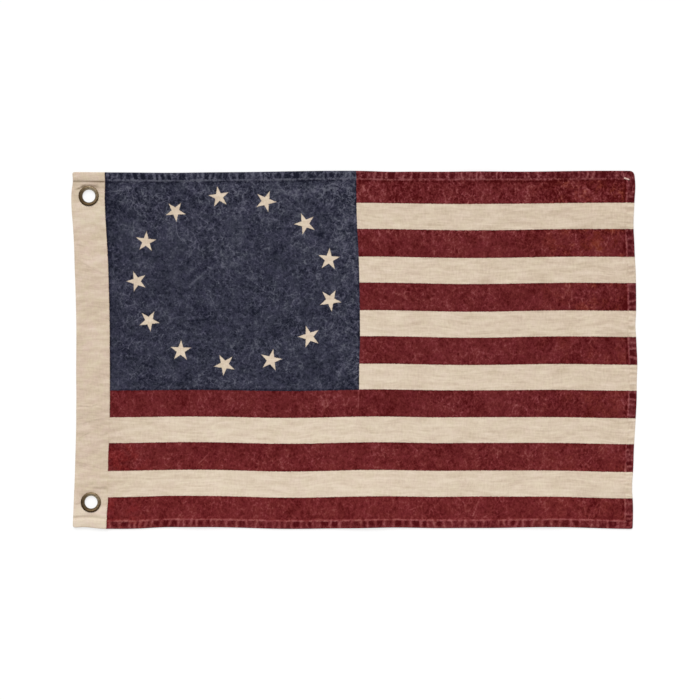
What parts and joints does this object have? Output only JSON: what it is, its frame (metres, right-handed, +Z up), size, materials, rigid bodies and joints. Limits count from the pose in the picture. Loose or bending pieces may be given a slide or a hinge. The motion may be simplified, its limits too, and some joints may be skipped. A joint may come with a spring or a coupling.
{
  "type": "cotton flag laid flat",
  "caption": "Small printed cotton flag, striped with a ring of stars on a dark corner field, washed soft and laid flat, with turned hems and a plain heading with brass eyelets.",
  "frame": {"origin": "on the surface the flag lies on, under the middle of its outline", "axes": "+X from the heading to the fly, +Y to the flag's top edge, +Z up off the surface, out of the printed face"},
  "size_m": [0.4602, 0.2914, 0.0038],
  "materials": {
    "printed_cotton": "matte, washed and faded print",
    "heading_cotton": "matte, unprinted off-white",
    "antique_brass": "satin, darkened in the hollows"
  },
  "bodies": {
    "root": {"flag_cloth": "printed_cotton", "heading_strip": "heading_cotton", "top_eyelet": "antique_brass", "top_washer": "antique_brass", "bottom_eyelet": "antique_brass", "bottom_washer": "antique_brass"}
  },
  "joints": []
}
